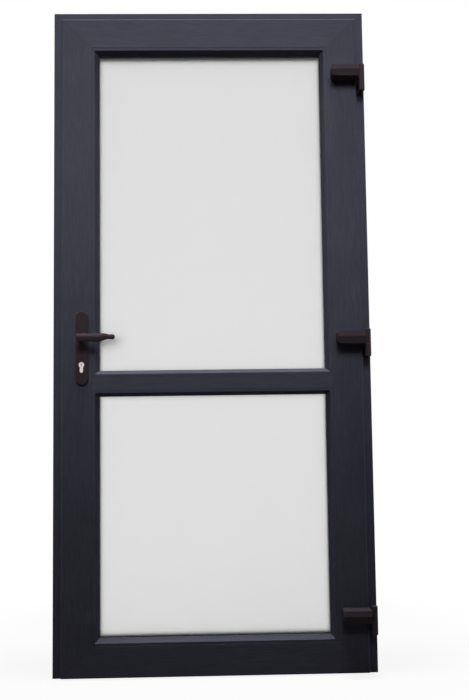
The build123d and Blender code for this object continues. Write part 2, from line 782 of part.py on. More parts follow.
for name, height in zip(hinge_names, hinge_heights):
    leaf_knuckle_bottom = height - cover_height / 2
    leaf_knuckle_height = cover_height + knuckle_cap
    frame_knuckle_bottom = leaf_knuckle_bottom - knuckle_gap - frame_knuckle_height
    frame_knuckle_span = (frame_knuckle_bottom, frame_knuckle_bottom + frame_knuckle_height)
    pin_top = leaf_knuckle_bottom + leaf_knuckle_height - pin_end
    with BuildPart() as hinge_leaf_part:
        with BuildSketch(Plane.XY.offset(leaf_knuckle_bottom)):
            with Locations((hinge_x, hinge_y)):
                Circle(knuckle_radius)
        extrude(amount=leaf_knuckle_height)
        fillet(hinge_leaf_part.edges().sort_by(Axis.Z)[-1], knuckle_round)
        inside_height = cover_height - 2 * (cover_wall + slide_clearance)
        plate_span = (cover_left + cover_low_round, cover_right)
        block(plate_span, (leaf_front - hinge_plate_thickness, leaf_front), about(height, inside_height))
        block_span = (cover_right - hinge_block_length, cover_right)
        block(block_span, (hinge_arm_span[0], leaf_front), about(height, inside_height))
        block((cover_right, hinge_x), hinge_arm_span, about(height, inside_height))
        with Locations((hinge_x, hinge_y, leaf_knuckle_bottom)):
            bore_depth = pin_top - leaf_knuckle_bottom
            bottom_up = (Align.CENTER, Align.CENTER, Align.MIN)
            Cylinder(pin_radius + bush_wall, bore_depth, align=bottom_up, mode=Mode.SUBTRACT)
    keep(hinge_leaf_part, f"hinge_leaf_part_{name}")

    with BuildPart() as hinge_cover:
        cover_bottom, cover_top = about(height, cover_height)
        lip_top = cover_bottom + cover_lip
        with BuildSketch(Plane.YZ.offset(cover_left)):
            with BuildLine():
                Polyline(
                    (leaf_front, cover_bottom),
                    (leaf_front, cover_top),
                    (cover_slope_end, cover_top),
                    (cover_front, cover_top - cover_crease),
                    (cover_slope_end, lip_top),
                    (cover_slope_end - cover_lip_step, lip_top),
                    (cover_slope_end - cover_lip_step, cover_bottom),
                    close=True,
                )
            make_face()
        extrude(amount=cover_length)
        extrude(cover_outline(height, 0, 0), amount=cover_depth, mode=Mode.INTERSECT)
        hollow_depth = leaf_front - cover_slope_end - cover_wall
        extrude(cover_outline(height, cover_wall, overrun), amount=hollow_depth, mode=Mode.SUBTRACT)
    keep(hinge_cover, f"hinge_cover_{name}")

    with BuildPart() as hinge_frame_part:
        with BuildSketch(Plane.XY.offset(frame_knuckle_bottom)):
            with Locations((hinge_x, hinge_y)):
                Circle(knuckle_radius)
        extrude(amount=frame_knuckle_height)
        fillet(hinge_frame_part.edges().sort_by(Axis.Z)[0], knuckle_round)
        foot_span = (frame_front - hinge_foot_thickness, frame_front)
        block(about(hinge_x, hinge_foot_width), foot_span, frame_knuckle_span)
        neck_bottom = frame_knuckle_bottom + knuckle_round
        block(about(hinge_x, hinge_neck_width), (hinge_y, frame_front), (neck_bottom, frame_knuckle_span[1]))
        for peg_height in peg_heights[name]:
            with Locations(Location((hinge_x, frame_front, peg_height), (-90, 0, 0))):
                Cylinder(hinge_peg_radius, hinge_peg_length, align=(Align.CENTER, Align.CENTER, Align.MIN))
        with Locations((hinge_x, hinge_y, frame_knuckle_span[1])):
            top_down = (Align.CENTER, Align.CENTER, Align.MAX)
            Cylinder(pin_radius, frame_knuckle_height - pin_end, align=top_down, mode=Mode.SUBTRACT)
    keep(hinge_frame_part, f"hinge_frame_part_{name}")

with BuildPart() as hinge_pins:
    for height in hinge_heights:
        pin_bottom = height - cover_height / 2 - knuckle_gap - frame_knuckle_height + pin_end
        pin_top = height + cover_height / 2 + knuckle_cap - pin_end - slide_clearance
        with Locations((hinge_x, hinge_y, (pin_bottom + pin_top) / 2)):
            Cylinder(pin_radius, pin_top - pin_bottom)
keep(hinge_pins, "hinge_pins")

with BuildPart() as hinge_bushes:
    for height in hinge_heights:
        bush_height = cover_height + knuckle_cap - pin_end
        with Locations((hinge_x, hinge_y, height - cover_height / 2 + bush_height / 2)):
            Cylinder(pin_radius + bush_wall, bush_height)
            Cylinder(pin_radius + turn_clearance, bush_height + 2 * overrun, mode=Mode.SUBTRACT)
keep(hinge_bushes, "hinge_bushes")

# Lock rail: faceplate with the guides of the side bolts
bolt_width = about(lock_y, bolt_thickness)
bolt_opening = about(lock_y, bolt_thickness + 2 * slide_clearance)
latch_rise_span = (handle_height + latch_rise, handle_height + latch_rise + bolt_height)


def bolt_openings(x_span):
    """Openings that the latch and the deadbolt slide through, and the hole of the cylinder's screw."""
    strike_holes(x_span, slide_clearance)
    with Locations(Location((case_front, lock_y, cylinder_z - cylinder_screw_drop), (0, 90, 0))):
        Cylinder(cylinder_screw_radius + turn_clearance, x_span[1] - x_span[0], mode=Mode.SUBTRACT)


rail_front = (edge_x - overrun, case_front + case_wall + overrun)
with BuildPart() as lock_rail:
    block((edge_x, case_front), about(lock_y, faceplate_width), faceplate_span)
    bolt_openings(rail_front)
    for height in side_bolt_heights:
        block((case_front, case_front + guide_length), about(lock_y, guide_width), about(height, guide_height))
        bore = 2 * (guide_length + faceplate_thickness + overrun)
        with Locations(Location((edge_x, lock_y, height), (0, 90, 0))):
            Cylinder(side_bolt_radius + turn_clearance, bore, mode=Mode.SUBTRACT)
keep(lock_rail, "lock_rail")

with BuildPart() as lock_case:
    block((case_front, case_back), about(lock_y, case_thickness), (case_bottom, case_top))
    inside_width = about(lock_y, case_thickness - 2 * case_wall)
    inside_rise = (case_bottom + case_wall, case_top - case_wall)
    block((case_front + case_wall, case_back - case_wall), inside_width, inside_rise, Mode.SUBTRACT)
    bolt_openings(rail_front)
    cross_holes((handle_height,), follower_radius + turn_clearance)
    extrude(cylinder_sketch(cylinder_fit), amount=case_thickness, both=True, mode=Mode.SUBTRACT)
keep(lock_case, "lock_case")

with BuildPart() as latch_bolt:
    with BuildSketch(Plane.XY.offset(latch_rise_span[0])):
        with BuildLine():
            Polyline(
                (edge_x - latch_throw, bolt_width[0]),
                (edge_x - latch_throw, bolt_width[0] + latch_nose),
                (edge_x, bolt_width[1]),
                (edge_x + latch_length, bolt_width[1]),
                (edge_x + latch_length, bolt_width[0]),
                close=True,
            )
        make_face()
    extrude(amount=bolt_height)
    tail_width = about(lock_y, tail_thickness)
    lug_front = spindle_x + arm_width / 2 + arm_clearance
    tail_span = (handle_height + tail_rise, handle_height + tail_rise + tail_thickness)
    block((edge_x + latch_length, lug_front + lug_width), tail_width, tail_span)
    block((lug_front, lug_front + lug_width), tail_width, (handle_height + lug_drop, tail_span[1]))
keep(latch_bolt, "latch_bolt")

with BuildPart() as deadbolt:
    block((edge_x, edge_x + bolt_length), bolt_width, about(bolt_z, bolt_height))
keep(deadbolt, "deadbolt")

with BuildPart() as side_bolts:
    for height in side_bolt_heights:
        with Locations(Location((edge_x + side_bolt_length / 2, lock_y, height), (0, 90, 0))):
            Cylinder(side_bolt_radius, side_bolt_length)
keep(side_bolts, "side_bolts")

# Spindle and follower
with BuildPart() as spindle:
    spindle_span = (plate_front - socket_depth, plate_back + socket_depth)
    block(about(spindle_x, spindle_size), spindle_span, about(handle_height, spindle_size))
keep(spindle, "spindle")

square_hole = spindle_size + 2 * turn_clearance
with BuildPart() as lock_follower:
    follower_depth = case_thickness - case_wall
    with Locations(Location((spindle_x, lock_y, handle_height), (90, 0, 0))):
        Cylinder(follower_radius, follower_depth)
    arm_span = about(spindle_x, arm_width)
    block(arm_span, about(lock_y, tail_thickness), (handle_height, handle_height + arm_reach))
    block(
        about(spindle_x, square_hole),
        about(lock_y, 2 * case_thickness),
        about(handle_height, square_hole),
        Mode.SUBTRACT,
    )
keep(lock_follower, "lock_follower")

# Handle plates and levers, the same on both faces of the leaf
handle_faces = {"inside": (leaf_front, -1), "outside": (leaf_back, 1)}


def face_plane(face, height):
    """Plane on a face of the leaf, on the spindle's line, pointing away from the leaf."""
    depth, out = handle_faces[face]
    return Plane(origin=(spindle_x, depth, height), x_dir=(-out, 0, 0), z_dir=(0, out, 0))


for face, (depth, out) in handle_faces.items():
    with BuildPart() as handle_plate:
        with BuildSketch(face_plane(face, plate_centre)):
            SlotOverall(plate_height, plate_width, rotation=90)
        extrude(amount=plate_thickness)
        outer_edges = handle_plate.faces().sort_by(Axis.Y)[0 if out < 0 else -1].edges()
        fillet(outer_edges, plate_edge_round)
        cross_holes((handle_height,), neck_radius + turn_clearance)
        extrude(cylinder_sketch(cylinder_fit), amount=leaf_depth, both=True, mode=Mode.SUBTRACT)
        for height in handle_bolt_heights:
            with Locations(face_plane(face, height)):
                up = (Align.CENTER, Align.CENTER, Align.MIN)
                if face == "inside":
                    Cylinder(handle_bolt_radius + turn_clearance, plate_thickness, align=up, mode=Mode.SUBTRACT)
                    with Locations((0, 0, plate_thickness - bolt_head_height)):
                        head_hole = bolt_head_radius + turn_clearance
                        Cylinder(head_hole, bolt_head_height, align=up, mode=Mode.SUBTRACT)
                else:
                    Cylinder(handle_bolt_radius + turn_clearance, bolt_engagement, align=up, mode=Mode.SUBTRACT)
    keep(handle_plate, f"handle_plate_{face}")

    with BuildPart() as lever:
        root = depth + out * (plate_thickness + neck_length)
        for along, tall, deep, back, rise in lever_shares:
            middle = (
                spindle_x + along * lever_reach,
                root - out * back * lever_return,
                handle_height + rise * lever_height,
            )
            with BuildSketch(Plane(origin=middle, x_dir=(0, 1, 0), z_dir=(1, 0, 0))):
                Ellipse(deep * lever_depth / 2, tall * lever_height / 2)
        loft()
        facet = facet_share * lever_height
        facet_height = handle_height + grip_rise_share * lever_height + facet
        facet_plane = Plane(origin=(spindle_x, root + out * facet, facet_height), z_dir=(0, out, 1))
        split(bisect_by=facet_plane, keep=Keep.BOTTOM)
        with BuildSketch(face_plane(face, handle_height).offset(plate_thickness - neck_seat)):
            Circle(neck_radius)
        extrude(amount=neck_length + neck_seat)
        socket = sorted((depth, depth + out * (plate_thickness + socket_depth + slide_clearance)))
        socket_width = about(spindle_x, square_hole)
        block(socket_width, socket, about(handle_height, square_hole), Mode.SUBTRACT)
    keep(lever, f"lever_{face}")

with BuildPart() as handle_bolts:
    for height in handle_bolt_heights:
        with BuildSketch(face_plane("inside", height).offset(plate_thickness)):
            Circle(bolt_head_radius)
        extrude(amount=-bolt_head_height)
        with BuildSketch(face_plane("inside", height).offset(plate_thickness)):
            Circle(handle_bolt_radius)
        extrude(amount=-(plate_thickness + leaf_depth + bolt_engagement))
keep(handle_bolts, "handle_bolts")

# Profile cylinder: body, two plugs, the cam between them and the screw that holds it
cylinder_front = plate_front - cylinder_proud
cylinder_back = plate_back + cylinder_proud
cam_span = about(lock_y, cam_gap)
cam_floor = cylinder_z - cam_reach - cam_clearance


def plug_bore(y_span, radius):
    """Round bore along the cylinder's axis."""
    with Locations(Location((spindle_x, (y_span[0] + y_span[1]) / 2, cylinder_z), (90, 0, 0))):
        Cylinder(radius, y_span[1] - y_span[0], mode=Mode.SUBTRACT)


with BuildPart() as cylinder_body:
    body_section = cylinder_sketch(0)
    extrude(body_section, amount=lock_y - cylinder_front)
    extrude(body_section, amount=lock_y - cylinder_back)
    plug_bore((cylinder_front - overrun, cylinder_back + overrun), plug_radius + turn_clearance)
    gap_width = about(spindle_x, 2 * (cylinder_radius + overrun))
    block(gap_width, cam_span, (cam_floor, cylinder_z + cylinder_radius + overrun), Mode.SUBTRACT)
    with Locations(Location((spindle_x, lock_y, cylinder_z - cylinder_screw_drop), (0, 90, 0))):
        Cylinder(cylinder_screw_radius + turn_clearance, 2 * cylinder_stem, mode=Mode.SUBTRACT)
keep(cylinder_body, "cylinder_body")

with BuildPart() as cylinder_screw:
    screw_end = spindle_x + cylinder_stem / 2
    with Locations(Location(((edge_x + screw_end) / 2, lock_y, cylinder_z - cylinder_screw_drop), (0, 90, 0))):
        Cylinder(cylinder_screw_radius, screw_end - edge_x)
keep(cylinder_screw, "cylinder_screw")

plug_spans = {
    "inside": (cylinder_front, cam_span[0]),
    "outside": (cam_span[1], cylinder_back),
}
for face, (front, back) in plug_spans.items():
    with BuildPart() as plug:
        with Locations(Location((spindle_x, (front + back) / 2, cylinder_z), (90, 0, 0))):
            Cylinder(plug_radius, back - front)
        mouth = (front - overrun, front + keyway_depth) if face == "inside" else (back - keyway_depth, back + overrun)
        block(about(spindle_x, keyway_width), mouth, about(cylinder_z, keyway_height), Mode.SUBTRACT)
    keep(plug, f"cylinder_plug_{face}")

with BuildPart() as cylinder_cam:
    with BuildSketch(upright(cam_span[0] + cam_thickness)):
        with Locations((spindle_x, cylinder_z)):
            Circle(cam_radius)
        with Locations((spindle_x, cylinder_z - cam_reach / 2)):
            Rectangle(cam_nose, cam_reach)
    extrude(amount=cam_thickness)
keep(cylinder_cam, "cylinder_cam")
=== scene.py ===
import json
import math

import bmesh
import bpy
from mathutils import Matrix, Vector


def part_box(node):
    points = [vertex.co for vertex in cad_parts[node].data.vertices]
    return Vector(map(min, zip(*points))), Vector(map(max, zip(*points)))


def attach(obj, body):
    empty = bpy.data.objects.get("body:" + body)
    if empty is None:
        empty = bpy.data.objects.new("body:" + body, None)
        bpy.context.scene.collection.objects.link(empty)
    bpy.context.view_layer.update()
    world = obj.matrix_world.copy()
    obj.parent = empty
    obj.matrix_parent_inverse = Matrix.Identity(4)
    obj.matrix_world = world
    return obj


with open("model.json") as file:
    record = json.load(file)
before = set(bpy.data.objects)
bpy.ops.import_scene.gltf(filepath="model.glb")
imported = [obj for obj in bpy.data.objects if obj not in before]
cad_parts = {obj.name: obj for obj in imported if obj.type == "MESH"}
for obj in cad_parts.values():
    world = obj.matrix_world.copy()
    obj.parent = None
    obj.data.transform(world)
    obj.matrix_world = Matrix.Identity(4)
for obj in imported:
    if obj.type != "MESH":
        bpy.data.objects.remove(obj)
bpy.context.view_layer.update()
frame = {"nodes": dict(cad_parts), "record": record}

bl_info = {
    "name": "Glazed Entrance Door",
    "version": (1, 0, 0),
    "blender": (4, 5, 0),
    "location": "3D View > Sidebar > Door",
    "description": "Finishes, small fittings and studio of a glazed entrance door",
    "category": "Object",
}

MM = 0.001
SLOT_OF = {part["node"]: part["material_slot"] for part in frame["record"]["subparts"]}
HINGES = ("bottom", "middle", "top")

# Where the small fittings sit, in metres
FACEPLATE_SCREW_HEIGHTS = (0.19, 0.34, 0.57, 0.75, 0.9, 1.16, 1.34, 1.53, 1.76, 1.91)
THRESHOLD_SCREW_PLACES = (-0.42, -0.25, -0.085, 0.085, 0.25, 0.42)
THRESHOLD_SCREW_DEPTH = -0.0125
KEEP_LENGTH = 0.07  # each of the two side keeps

# Shape of a screw head
RECESS_SHARE = 0.66  # of the head's radius, as are the next two
CROSS_ARM_SHARE = 0.14
SOCKET_SHARE = 0.46
EDGE_ROUND_SHARE = 1 / 3  # of the head's height
HEAD_SIDES = 32
FACES_UP = 0.99  # least height of an upward face's normal
SMOOTH_ANGLE = math.radians(35)
TURN_STEP = 0.37  # turn of each head from the one before, in radians

# Lamps: place, what they face and size in metres, the setting that holds their power, and spread in degrees
LAMPS = {
    "inside_softbox": ((0, -2.8, 3.2), (0, -0.055, 1.7), (2.6, 1.2), "softbox_power", 46),
    "outside_softbox": ((0, 2.76, 3.2), (0, 0.015, 1.7), (2.6, 1.2), "softbox_power", 46),
    "lock_side_lamp": ((-2.5, 0, 1.6), (-0.5, 0, 1.1), (0.4, 1.6), "side_power", 70),
    "hinge_side_lamp": ((2.5, 0, 1.6), (0.5, 0, 1.1), (0.4, 1.6), "side_power", 70),
    "ceiling_lamp": ((0, -0.35, 6.0), (0, -0.35, 0), (1.6, 0.5), "ceiling_power", 60),
}
FLOOR_SIZE = 60
FLOOR_GREY = (0.07, 0.07, 0.07, 1.0)
WHITE = (1.0, 1.0, 1.0, 1.0)
SENSOR_WIDTH = 36


def linear(hex_colour):
    """Linear RGBA of an sRGB hex colour."""
    channels = [int(hex_colour[i : i + 2], 16) / 255 for i in (1, 3, 5)]
    return tuple(c / 12.92 if c <= 0.04045 else ((c + 0.055) / 1.055) ** 2.4 for c in channels) + (1.0,)


def colour_property(name, description, hex_colour):
    """A colour that the user may change."""
    return bpy.props.FloatVectorProperty(
        name=name,
        description=description,
        default=linear(hex_colour),
        size=4,
        min=0,
        max=1,
        subtype="COLOR",
    )


def length_property(name, description, default):
    """A length in metres that the user may change."""
    return bpy.props.FloatProperty(name=name, description=description, default=default, min=0, unit="LENGTH")


def power_property(name, description, default):
    """A lamp's power in watts that the user may change."""
    return bpy.props.FloatProperty(name=name, description=description, default=default, min=0, unit="POWER")


def share_property(name, description, default):
    """A plain number up to 1 that the user may change."""
    return bpy.props.FloatProperty(name=name, description=description, default=default, min=0, max=1)


class DoorFinishes(bpy.types.PropertyGroup):
    """Colours of the door's materials and the real sizes of their patterns."""

    foil: colour_property("Foil", "Anthracite foil on the profiles", "#444450")
    foil_grain: colour_property("Foil grain", "Raised grain of the foil", "#52525F")
    weld: colour_property("Weld line", "Scraped corner welds", "#34343D")
    plain_pvc: colour_property("Plain PVC", "Threshold base and setting blocks", "#3C3D42")
    rubber: colour_property("Rubber", "Seals", "#141415")
    coat: colour_property("Powder coat", "Handles and hinge knuckles", "#372F33")
    cap: colour_property("Hinge caps", "Moulded covers of the hinges", "#322C30")
    zinc: colour_property("Zinc plate", "Plated steel fittings", "#B9BCC0")
    aluminium: colour_property("Aluminium", "Threshold cover", "#C3C5C8")
    spacer: colour_property("Spacer", "Black spacer bars between the sheets of glass", "#1C1C1F")
    nickel: colour_property("Nickel", "Lock cylinder", "#DAD5CE")
    acetal: colour_property("Acetal", "Hinge bushes", "#E6E4DD")
    glass: colour_property("Glass", "Light let through each sheet", "#F5F5F5")
    outer_satin: share_property("Outer satin", "Roughness of the outer sheets' deep etch", 0.62)
    inner_satin: share_property("Inner satin", "Roughness of the inner sheets' light etch", 0.2)
    grain_width: length_property("Grain width", "Width of the foil's embossed grain", 1.6 * MM)
    grain_length: length_property("Grain length", "Length of the foil's embossed grain", 45 * MM)
    weld_width: length_property("Weld width", "Width of the corner welds' scraped line", 1.4 * MM)


class DoorFittings(bpy.types.PropertyGroup):
    """Sizes of the small fittings that the scene adds."""

    screw_radius: length_property("Screw radius", "Radius of the countersunk screw heads", 3.4 * MM)
    bolt_radius: length_property("Bolt radius", "Radius of the handle bolts' raised heads", 4.4 * MM)
    cap_radius: length_property("Cap radius", "Radius of the caps in the hinge knuckles", 5.2 * MM)
    grub_radius: length_property("Grub radius", "Radius of the levers' grub screws", 2.4 * MM)
    grub_reach: length_property("Grub reach", "Grub screws from the face of their plate", 12 * MM)
    grub_drop: length_property("Grub drop", "Seat of the grub screws below the spindle's axis", 9.2 * MM)
    strike_end: length_property("Strike end", "Screws from the ends of the strikes and keeps", 9 * MM)
    head_height: length_property("Head height", "Height of a head, most of it sunk", 0.9 * MM)
    head_proud: length_property("Head proud", "Height of a head above what it is sunk in", 0.5 * MM)
    recess_depth: length_property("Recess depth", "Depth of the recess in a head", 0.7 * MM)


class DoorStudio(bpy.types.PropertyGroup):
    """Camera and lamps."""

    camera_place: bpy.props.FloatVectorProperty(
        name="Camera place",
        description="Camera in the door's frame",
        default=(0.012, -2.5559, 0.8213),
        subtype="XYZ",
    )
    camera_turn: bpy.props.FloatVectorProperty(
        name="Camera turn",
        description="Turn of the camera about X, Y and Z",
        default=tuple(math.radians(angle) for angle in (94.0788, 0.7398, -1.2569)),
        subtype="EULER",
    )
    camera_lens: bpy.props.FloatProperty(
        name="Lens", description="Focal length in millimetres", default=41.143, min=1
    )
    softbox_power: power_property("Softbox power", "Soft lamps on the upper half of each face", 10.2)
    side_power: power_property("Side power", "Lamps on the frame's sides", 3)
    ceiling_power: power_property("Ceiling power", "Lamp high over the door", 45)
    fill_level: share_property("Fill level", "Even light from all round", 0.04)


def fill(tree, node, inputs):
    """Set or link a node's inputs."""
    for name, value in dict(inputs).items():
        if isinstance(value, bpy.types.NodeSocket):
            tree.links.new(value, node.inputs[name])
        else:
            node.inputs[name].default_value = value


def add_node(tree, kind, inputs=(), output=0, **settings):
    """Add a node with its settings, set or link its inputs, and give back one of its outputs."""
    node = tree.nodes.new(kind)
    for name, value in settings.items():
        setattr(node, name, value)
    fill(tree, node, inputs)
    return node.outputs[output]


def start_material(name, constants):
    """A new material, its tree, its Principled shader with constant sockets set, and object coordinates."""
    material = bpy.data.materials.new(name)
    material.use_nodes = True
    tree = material.node_tree
    shader = tree.nodes["Principled BSDF"]
    fill(tree, shader, constants)
    return material, tree, shader, add_node(tree, "ShaderNodeTexCoord", output="Object")


def toned(colour, share):
    """A colour made lighter or darker."""
    return tuple(min(1.0, share * c) for c in colour[:3]) + (1.0,)


def foil_on_pvc(finishes, level):
    """PVC profile with a laminated foil: a soft dark sheen with grain along the profile, and a thin scraped
    line where the corners are welded. Grain that lies level catches more of the light from above. The real
    grain is about 0.3 mm wide, drawn coarser to show."""
    name = "laminated_pvc_foil_level" if level else "laminated_pvc_foil_upright"
    material, tree, shader, place = start_material(name, {"IOR": 1.46, "Specular IOR Level": 0.03})
    across, along = 1 / finishes.grain_width, 1 / finishes.grain_length
    stretch = (along, across, across) if level else (across, across, along)
    grain_place = add_node(tree, "ShaderNodeMapping", {"Vector": place, "Scale": stretch})
    grain = add_node(tree, "ShaderNodeTexNoise", {"Vector": grain_place, "Scale": 1.0, "Detail": 4.0})
    cloud = add_node(tree, "ShaderNodeTexNoise", {"Vector": place, "Scale": 1 / (90 * MM), "Detail": 2.0})
    ridges = add_node(tree, "ShaderNodeMapRange", {"Value": grain, "From Min": 0.35, "From Max": 0.65})
    tone = add_node(tree, "ShaderNodeMath", {0: ridges, 1: cloud}, operation="MULTIPLY")
    light = 1.06 if level else 1.0
    colours = {6: toned(finishes.foil, light), 7: toned(finishes.foil_grain, light)}
    colour = add_node(tree, "ShaderNodeMix", {0: tone, **colours}, 2, data_type="RGBA")
    line = weld_lines(tree, place, finishes.weld_width)
    colours = {6: colour, 7: tuple(finishes.weld)}
    colour = add_node(tree, "ShaderNodeMix", {0: line, **colours}, 2, data_type="RGBA")
    rough = add_node(tree, "ShaderNodeMapRange", {"Value": grain, "To Min": 0.44, "To Max": 0.6})
    bump = add_node(tree, "ShaderNodeBump", {"Height": grain, "Strength": 0.16, "Distance": 0.3 * MM})
    fill(tree, shader, {"Base Color": colour, "Roughness": rough, "Normal": bump})
    return material


def weld_lines(tree, place, width):
    """Strength of the scraped line on the mitres of the frame and the leaf, and 0 away from them."""
    apart = add_node(tree, "ShaderNodeSeparateXYZ", {"Vector": place}).node.outputs
    from_middle = add_node(tree, "ShaderNodeMath", {0: apart["X"]}, operation="ABSOLUTE")
    nearest = 1.0
    for ring_node, upper in (("frame_head", True), ("leaf_top_rail", True), ("leaf_bottom_rail", False)):
        # Along a mitre, the distances from the side and from the end are the same
        low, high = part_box(ring_node)
        to_end = {1: -1.0, 2: high.z} if upper else {1: 1.0, 2: -low.z}
        from_end = add_node(tree, "ShaderNodeMath", {0: apart["Z"], **to_end}, operation="MULTIPLY_ADD")
        from_side = add_node(tree, "ShaderNodeMath", {0: high.x, 1: from_middle}, operation="SUBTRACT")
        off = add_node(tree, "ShaderNodeMath", {0: from_end, 1: from_side}, operation="SUBTRACT")
        gap = add_node(tree, "ShaderNodeMath", {0: off}, operation="ABSOLUTE")
        nearest = add_node(tree, "ShaderNodeMath", {0: nearest, 1: gap}, operation="MINIMUM")
    band = {"From Min": 0.0, "From Max": width, "To Min": 0.7, "To Max": 0.0}
    return add_node(tree, "ShaderNodeMapRange", {"Value": nearest, **band}, interpolation_type="SMOOTHSTEP")


def plain_pvc(finishes):
    """Extruded PVC without foil: even, dull, with faint lines along the extrusion."""
    constants = {"IOR": 1.54, "Specular IOR Level": 0.3}
    material, tree, shader, place = start_material("plain_extruded_pvc", constants)
    stretch = (1 / (400 * MM), 1 / (2 * MM), 1 / (2 * MM))
    line_place = add_node(tree, "ShaderNodeMapping", {"Vector": place, "Scale": stretch})
    lines = add_node(tree, "ShaderNodeTexNoise", {"Vector": line_place, "Scale": 1.0, "Detail": 3.0})
    colours = {6: tuple(finishes.plain_pvc), 7: toned(finishes.plain_pvc, 0.82)}
    colour = add_node(tree, "ShaderNodeMix", {0: lines, **colours}, 2, data_type="RGBA")
    rough = add_node(tree, "ShaderNodeMapRange", {"Value": lines, "To Min": 0.5, "To Max": 0.68})
    bump = add_node(tree, "ShaderNodeBump", {"Height": lines, "Strength": 0.1, "Distance": 0.2 * MM})
    fill(tree, shader, {"Base Color": colour, "Roughness": rough, "Normal": bump})
    return material


def seal_rubber(finishes):
    """Extruded EPDM rubber: matt black with a faint grey bloom."""
    constants = {"IOR": 1.52, "Specular IOR Level": 0.2}
    material, tree, shader, place = start_material("extruded_epdm_rubber", constants)
    bloom = add_node(tree, "ShaderNodeTexNoise", {"Vector": place, "Scale": 1 / (14 * MM), "Detail": 5.0})
    colours = {6: tuple(finishes.rubber), 7: toned(finishes.rubber, 2.4)}
    colour = add_node(tree, "ShaderNodeMix", {0: bloom, **colours}, 2, data_type="RGBA")
    rough = add_node(tree, "ShaderNodeMapRange", {"Value": bloom, "To Min": 0.62, "To Max": 0.85})
    bump = add_node(tree, "ShaderNodeBump", {"Height": bloom, "Strength": 0.08, "Distance": 0.2 * MM})
    fill(tree, shader, {"Base Color": colour, "Roughness": rough, "Normal": bump})
    return material


def powder_coat(finishes):
    """Brown-black powder coat on cast metal: a fine orange peel breaks up a soft shine, and handling has made
    it uneven. The real peel is about 0.5 mm, drawn at 1.2 mm to show."""
    constants = {"IOR": 1.5, "Specular IOR Level": 0.04}
    material, tree, shader, place = start_material("powder_coated_zinc_casting", constants)
    peel = add_node(tree, "ShaderNodeTexNoise", {"Vector": place, "Scale": 1 / (1.2 * MM), "Detail": 2.0})
    handled = add_node(tree, "ShaderNodeTexNoise", {"Vector": place, "Scale": 1 / (22 * MM), "Detail": 4.0})
    colours = {6: tuple(finishes.coat), 7: toned(finishes.coat, 1.35)}
    colour = add_node(tree, "ShaderNodeMix", {0: handled, **colours}, 2, data_type="RGBA")
    rough = add_node(tree, "ShaderNodeMapRange", {"Value": handled, "To Min": 0.28, "To Max": 0.46})
    bump = add_node(tree, "ShaderNodeBump", {"Height": peel, "Strength": 0.1, "Distance": 0.15 * MM})
    fill(tree, shader, {"Base Color": colour, "Roughness": rough, "Normal": bump})
    return material


def hinge_plastic(finishes):
    """Moulded plastic cover: a fine spark-eroded texture that scatters the light. The real texture is about
    0.2 mm, drawn at 0.9 mm to show."""
    constants = {"IOR": 1.5, "Specular IOR Level": 0.03}
    material, tree, shader, place = start_material("moulded_hinge_plastic", constants)
    mould = add_node(tree, "ShaderNodeTexNoise", {"Vector": place, "Scale": 1 / (0.9 * MM), "Detail": 3.0})
    flow = add_node(tree, "ShaderNodeTexNoise", {"Vector": place, "Scale": 1 / (30 * MM), "Detail": 2.0})
    colours = {6: tuple(finishes.cap), 7: toned(finishes.cap, 1.25)}
    colour = add_node(tree, "ShaderNodeMix", {0: flow, **colours}, 2, data_type="RGBA")
    rough = add_node(tree, "ShaderNodeMapRange", {"Value": mould, "To Min": 0.42, "To Max": 0.6})
    bump = add_node(tree, "ShaderNodeBump", {"Height": mould, "Strength": 0.18, "Distance": 0.15 * MM})
    fill(tree, shader, {"Base Color": colour, "Roughness": rough, "Normal": bump})
    return material


def zinc_plate(finishes):
    """Bright zinc on steel: a cloudy, slightly blue metal with fine rolling marks."""
    material, tree, shader, place = start_material("zinc_plated_steel", {"Metallic": 1.0})
    cloud = add_node(tree, "ShaderNodeTexNoise", {"Vector": place, "Scale": 1 / (9 * MM), "Detail": 4.0})
    stretch = (1 / (1.2 * MM), 1 / (1.2 * MM), 1 / (60 * MM))
    rolled_place = add_node(tree, "ShaderNodeMapping", {"Vector": place, "Scale": stretch})
    rolled = add_node(tree, "ShaderNodeTexNoise", {"Vector": rolled_place, "Scale": 1.0, "Detail": 2.0})
    bluer = (0.8 * finishes.zinc[0], 0.86 * finishes.zinc[1], 0.95 * finishes.zinc[2], 1.0)
    colours = {6: tuple(finishes.zinc), 7: bluer}
    colour = add_node(tree, "ShaderNodeMix", {0: cloud, **colours}, 2, data_type="RGBA")
    rough = add_node(tree, "ShaderNodeMapRange", {"Value": cloud, "To Min": 0.28, "To Max": 0.5})
    bump = add_node(tree, "ShaderNodeBump", {"Height": rolled, "Strength": 0.06, "Distance": 0.1 * MM})
    fill(tree, shader, {"Base Color": colour, "Roughness": rough, "Normal": bump})
    return material


def anodised_aluminium(name, tint):
    """Anodised aluminium in one tint: satin metal with fine drawn lines along the extrusion."""
    material, tree, shader, place = start_material(name, {"Metallic": 1.0})
    stretch = (1 / (300 * MM), 1 / (0.8 * MM), 1 / (0.8 * MM))
    drawn_place = add_node(tree, "ShaderNodeMapping", {"Vector": place, "Scale": stretch})
    drawn = add_node(tree, "ShaderNodeTexNoise", {"Vector": drawn_place, "Scale": 1.0, "Detail": 3.0})
    colours = {6: tuple(tint), 7: toned(tint, 0.86)}
    colour = add_node(tree, "ShaderNodeMix", {0: drawn, **colours}, 2, data_type="RGBA")
    rough = add_node(tree, "ShaderNodeMapRange", {"Value": drawn, "To Min": 0.3, "To Max": 0.46})
    bump = add_node(tree, "ShaderNodeBump", {"Height": drawn, "Strength": 0.08, "Distance": 0.1 * MM})
    fill(tree, shader, {"Base Color": colour, "Roughness": rough, "Normal": bump})
    return material


